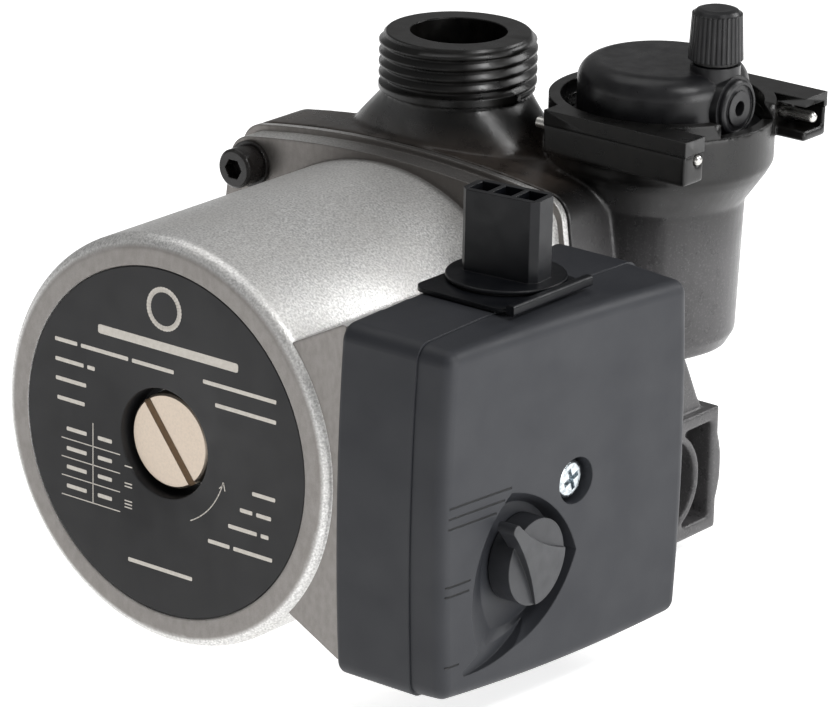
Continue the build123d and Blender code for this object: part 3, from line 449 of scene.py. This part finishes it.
def blended_casting(name, node, voxel_mm, rounds, thread_foot):
    """A remeshed copy whose creases run together as in a moulding, and the sharp thread above it."""
    made = stand_in(name, node, finished(name, half_of(node, thread_foot, 1)))
    remesh = made.modifiers.new("remesh", "REMESH")
    remesh.mode = "VOXEL"
    remesh.voxel_size = voxel_mm * MM
    remesh.use_smooth_shade = True
    bake(made)
    group = made.vertex_groups.new(name="soft")
    limit = at(0, 0, thread_foot - THREAD_MARGIN).z
    group.add([v.index for v in made.data.vertices if v.co.z < limit], 1.0, "REPLACE")
    smooth = made.modifiers.new("smooth", "SMOOTH")
    smooth.factor = SMOOTHING
    smooth.iterations = rounds
    smooth.vertex_group = "soft"
    bake(made)
    made.data.shade_smooth()
    made.data.materials.clear()
    made.data.materials.append(LOOKS[SLOT_OF[node]].material)
    thread_name = name + "_thread"
    thread = stand_in(thread_name, node, finished(thread_name, half_of(node, thread_foot, -1)))
    thread.data.shade_smooth()
    thread.data.set_sharp_from_angle(angle=THREAD_SHARP)


blended_casting("housing_moulding", "pump_housing", HOUSING_VOXEL, HOUSING_ROUNDS, THREAD_FOOT)

# Name plate: a thin pressed disc with a fine rolled edge, which also runs back into the vent screw's recess
# as a black collar with an inward lip, so the recess shows dark
PLATE_R = 36.3
PLATE_HOLE_R = 12.0
PLATE_PRINT = 0.03
PLATE_T = 0.6
SEGMENTS = 160
CREASE = math.radians(30)


def turned(name, profile):
    """A body turned about the motor axis from (radius, distance back) points."""
    mesh = bpy.data.meshes.new(name)
    form = bmesh.new()
    rings = []
    for radius, back in profile:
        ring = []
        for i in range(SEGMENTS):
            turn = 2 * math.pi * i / SEGMENTS
            ring.append(form.verts.new(at(radius * math.cos(turn), back, radius * math.sin(turn))))
        rings.append(ring)
    for k in range(len(rings)):
        first, second = rings[k], rings[(k + 1) % len(rings)]
        for i in range(SEGMENTS):
            j = (i + 1) % SEGMENTS
            form.faces.new((first[i], first[j], second[j], second[i]))
    bmesh.ops.recalc_face_normals(form, faces=form.faces)
    form.to_mesh(mesh)
    form.free()
    mesh.shade_smooth()
    mesh.set_sharp_from_angle(angle=CREASE)
    return mesh


EDGE = 0.15
COLLAR_R = PLATE_HOLE_R - 0.05
COLLAR_IN = COLLAR_R - 0.6
ROLL_INNER = 0.45
ROLL_OUTER = 0.12
COLLAR_BACK = 6.4
COLLAR_LIP_R = 10.2
COLLAR_LIP = 5.8
stand_in("name_plate_disc", "name_plate", turned("name_plate_disc", [
    (COLLAR_IN, ROLL_INNER), (COLLAR_IN + EDGE, ROLL_OUTER), (COLLAR_IN + 3 * EDGE, PLATE_PRINT),
    (PLATE_R - EDGE, PLATE_PRINT), (PLATE_R, PLATE_PRINT + EDGE), (PLATE_R, PLATE_T),
    (COLLAR_R, PLATE_T), (COLLAR_R, COLLAR_BACK), (COLLAR_LIP_R, COLLAR_BACK), (COLLAR_LIP_R, COLLAR_LIP),
    (COLLAR_IN, COLLAR_LIP),
]))


def on_plate(u, v, depth):
    return at(u, depth, v)


WORD_GAP = 1.0


def word_row(start, height, level_v, lengths):
    """A row of rounded bars in place of a line of print."""
    row = []
    u = start
    for length in lengths:
        row.append((u + length / 2, level_v, length, height, 0))
        u += length + WORD_GAP
    return row


TITLE = 1.9
TEXT = 0.85
RULE = 0.22
print_bars = word_row(-17.4, TITLE, 20.3, [36.6])
for start, level_v, lengths in (
    (-29.0, 15.6, [6.0, 12.6, 11.0]), (-28.9, 11.4, [7.6, 2.0]), (-28.8, 7.3, [8.2]), (-28.4, 3.2, [7.4]),
    (10.2, 15.6, [18.8]), (13.4, 11.4, [15.6]), (23.1, -4.8, [5.9]), (20.0, -9.0, [3.2, 3.8]),
    (17.0, -13.1, [7.4, 2.0]), (11.8, -17.6, [5.6, 10.0]), (-9.3, -27.0, [17.0]),
):
    print_bars += word_row(start, TEXT, level_v, lengths)
# Table: four rules, an upright one, two columns of bars, and one, two and three strokes at its right
for level_v in (-5.2, -9.2, -13.2, -17.4):
    print_bars.append((-19.4, level_v, 15.8, RULE, 0))
print_bars.append((-18.8, -8.8, RULE, 17.2, 0))
for level_v in (-3.0, -7.2, -11.2, -15.3):
    print_bars.append((-23.2, level_v, 5.4, TEXT, 0))
    print_bars.append((-15.6, level_v, 3.8, TEXT, 0))
STROKE_U = -9.3
STROKE_STEP = 0.7
STROKE_LENGTH = 2.0
STROKE_WIDTH = RULE * 1.2
for level_v, count in ((-7.2, 1), (-11.2, 2), (-15.3, 3)):
    for i in range(count):
        stroke_v = level_v + STROKE_STEP * (i - (count - 1) / 2)
        print_bars.append((STROKE_U, stroke_v, STROKE_LENGTH, STROKE_WIDTH, 0))
# Direction of rotation: an arc and its arrow head
ARC_R = 16.2
ARC_START = -62
ARC_STEP = 3.2
ARC_STEPS = 15
ARC_DASH = 1.05
ARROW_TURN = -16
BARB_LEAN = 28
BARB_LENGTH = 1.8
BARB_ASIDE = 0.7
BARB_DROP = 0.75
for i in range(ARC_STEPS):
    turn = ARC_START + ARC_STEP * i
    u = ARC_R * math.cos(math.radians(turn))
    v = ARC_R * math.sin(math.radians(turn))
    print_bars.append((u, v, RULE, ARC_DASH, turn))
tip_u = ARC_R * math.cos(math.radians(ARROW_TURN))
tip_v = ARC_R * math.sin(math.radians(ARROW_TURN))
for lean in (BARB_LEAN, -BARB_LEAN):
    barb_u = tip_u + math.sin(math.radians(lean)) * BARB_ASIDE
    print_bars.append((barb_u, tip_v - BARB_DROP, RULE, BARB_LENGTH, lean + ARROW_TURN))
bars("plate_print", print_bars, PLATE_PRINT, on_plate, PRINT, body_of("name_plate"))

# Emblem: a plain ring above the lettering
EMBLEM_V = 28.2
EMBLEM_R = 4.0
EMBLEM_STEPS = 36
EMBLEM_WIDTH = 1.1
EMBLEM_DASH = 0.78
emblem = []
for i in range(EMBLEM_STEPS):
    turn = 360 * i / EMBLEM_STEPS
    u = EMBLEM_R * math.cos(math.radians(turn))
    v = EMBLEM_V + EMBLEM_R * math.sin(math.radians(turn))
    emblem.append((u, v, EMBLEM_WIDTH, EMBLEM_DASH, turn))
bars("plate_emblem", emblem, PLATE_PRINT, on_plate, PRINT, body_of("name_plate"))

# Scored speed marks on the tilted cover: three, two and one lines, each with a near-black bar set in its
# groove as painted shade
COVER_NEAR_X = 71.4
COVER_FAR_X = 78.1
BOX_NEAR = -0.6
BOX_FAR = 69.8
COVER_SLOPE = math.atan2(COVER_FAR_X - COVER_NEAR_X, BOX_FAR - BOX_NEAR)
GROOVE_DEPTH = 0.25
MARK_DEPTH = 0.05
MARK_WIDTH = 0.16
MARK_SHORTER = 0.05


def on_cover(u, v, depth):
    """A place on the cover's front: u along it from its near edge, v up, depth below a mark's face."""
    inward = MARK_DEPTH + depth
    x = COVER_NEAR_X + u * math.sin(COVER_SLOPE) - inward * math.cos(COVER_SLOPE)
    y = BOX_NEAR + u * math.cos(COVER_SLOPE) + inward * math.sin(COVER_SLOPE)
    return at(x, y, v)


marks = []
for v, start, length in (
    (3.9, 1.4, 17.4), (1.8, 1.3, 15.6), (-0.3, 1.2, 13.4),
    (-12.2, 0.9, 6.8), (-14.2, 0.8, 6.6), (-28.9, 1.2, 3.8),
):
    marks.append((start + length / 2, v, length - MARK_SHORTER, MARK_WIDTH, 0))
mark_thickness = GROOVE_DEPTH - MARK_DEPTH
bars("speed_mark_shade", marks, mark_thickness, on_cover, GROOVE_SHADE, body_of("terminal_box_cover"))

# ---------------------------------------------------------------- studio

# The camera's place and turn match the angle that the object is seen from.
AZIMUTH = math.radians(38.0)
ELEVATION = math.radians(19.23)
ROLL = math.radians(1.235)
FOCAL_PX = 5001.0
FRAME_PX = 833.0
SENSOR = 36.0
DISTANCE = 993.73
SHIFT_RIGHT = 50.28
SHIFT_UP = 17.92

back = Vector((
    math.sin(AZIMUTH) * math.cos(ELEVATION), -math.cos(AZIMUTH) * math.cos(ELEVATION), math.sin(ELEVATION),
))
level_right = Vector((math.cos(AZIMUTH), math.sin(AZIMUTH), 0))
level_up = back.cross(level_right)
right = math.cos(ROLL) * level_right + math.sin(ROLL) * level_up
up = -math.sin(ROLL) * level_right + math.cos(ROLL) * level_up
eye = back * DISTANCE + right * SHIFT_RIGHT + up * SHIFT_UP

camera = bpy.data.objects.new("camera", bpy.data.cameras.new("camera"))
bpy.context.scene.collection.objects.link(camera)
camera.data.sensor_width = SENSOR
camera.data.lens = FOCAL_PX * SENSOR / FRAME_PX
camera_axes = Matrix((right, up, back)).transposed()
camera.matrix_world = Matrix.Translation(at(*eye)) @ camera_axes.to_4x4()
bpy.context.scene.camera = camera


def softbox(name, place, aim, width, height, power):
    """A rectangular light, in metres and watts, that faces a point."""
    light = bpy.data.objects.new(name, bpy.data.lights.new(name, "AREA"))
    bpy.context.scene.collection.objects.link(light)
    light.data.shape = "RECTANGLE"
    light.data.size = width
    light.data.size_y = height
    light.data.energy = power
    light.location = place
    light.rotation_mode = "QUATERNION"
    light.rotation_quaternion = (Vector(place) - Vector(aim)).to_track_quat("Z", "Y")


middle = (cad_low + cad_high) / 2
neck = (0, 0, -0.02)
softbox("key", (0.46, 0.66, 0.42), middle, 0.40, 0.32, 3.2)
softbox("side", (0.85, -0.02, 0.02), middle, 0.5, 0.5, 4.6)
softbox("flank", (0.62, -0.10, 0.62), neck, 0.18, 0.18, 2.8)
softbox("left", (-0.25, -0.05, 0.95), middle, 0.7, 0.7, 2.4)

world = bpy.data.worlds.new("studio")
bpy.context.scene.world = world
world.use_nodes = True
sky = world.node_tree.nodes["Background"]
sky.inputs["Color"].default_value = (1, 1, 1, 1)
WORLD_STRENGTH = 0.24
sky.inputs["Strength"].default_value = WORLD_STRENGTH

FLOOR_HALF = 4.0
FLOOR_GAP = 0.0005
FLOOR_GLOW = 0.66
floor_mesh = bpy.data.meshes.new("floor")
floor_form = bmesh.new()
corners = [(i * FLOOR_HALF, j * FLOOR_HALF) for i, j in ((-1, -1), (1, -1), (1, 1), (-1, 1))]
floor_form.faces.new([floor_form.verts.new((x, y, cad_low.z - FLOOR_GAP)) for x, y in corners])
floor_form.to_mesh(floor_mesh)
floor_form.free()
floor = bpy.data.objects.new("floor", floor_mesh)
bpy.context.scene.collection.objects.link(floor)
floor_look = Look("pale floor", (0.96, 0.96, 0.96), 0.9, specular=0.0)
floor_look.shader.inputs["Emission Color"].default_value = (1, 1, 1, 1)
floor_look.shader.inputs["Emission Strength"].default_value = FLOOR_GLOW
floor_mesh.materials.append(floor_look.material)
bpy.context.scene.view_settings.view_transform = "Standard"
